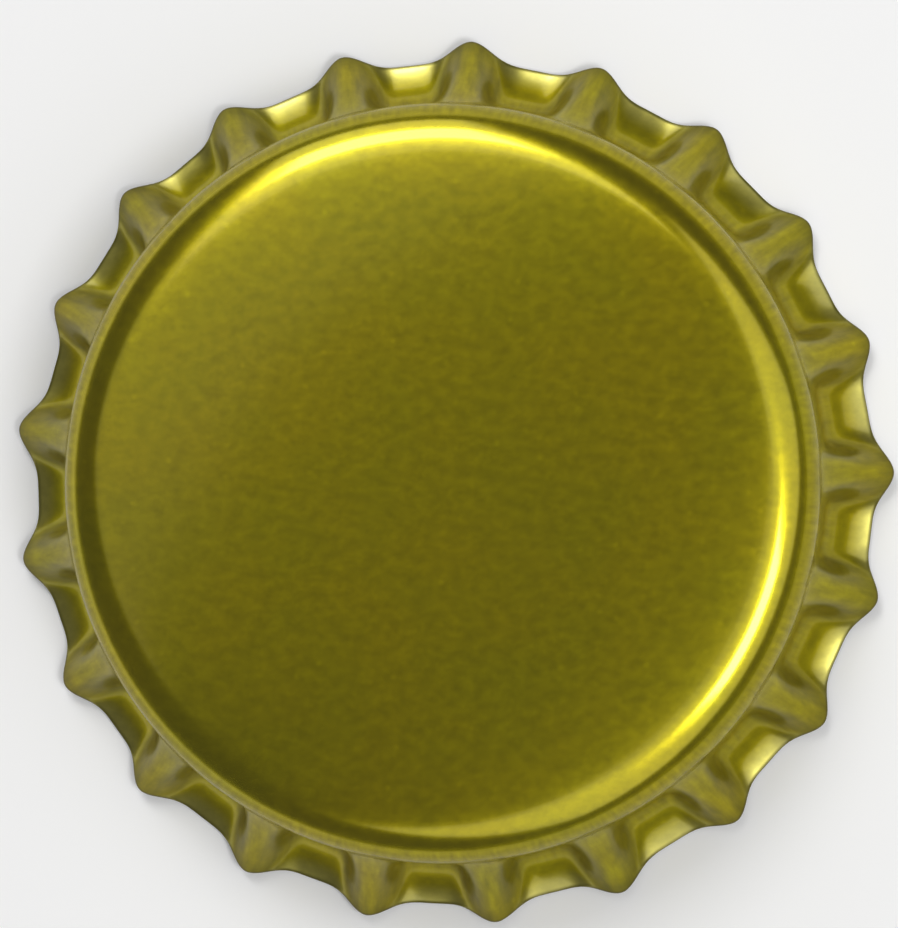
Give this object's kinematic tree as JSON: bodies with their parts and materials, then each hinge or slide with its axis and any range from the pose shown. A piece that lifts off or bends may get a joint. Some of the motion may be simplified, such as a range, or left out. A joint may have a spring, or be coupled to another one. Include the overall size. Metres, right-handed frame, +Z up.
{
  "type": "crown bottle cap",
  "caption": "Uncrimped crown cap of gold-lacquered tinplate with a flat panel, a rolled corner, a fluted skirt and a moulded sealing liner.",
  "frame": {"origin": "centre of the ring on which the skirt rests, on the cap's axis and at table height", "axes": "+Z up through the panel along the cap's axis, +X towards the tip of one crest of the skirt"},
  "size_m": [0.0319, 0.032, 0.006],
  "materials": {
    "gold_lacquered_tinplate": "gold lacquer over satin tinplate, bare steel at the cut edge",
    "sealing_compound": "soft translucent white, smooth moulded"
  },
  "bodies": {
    "root": {"shell": "gold_lacquered_tinplate", "liner": "sealing_compound"}
  },
  "joints": []
}
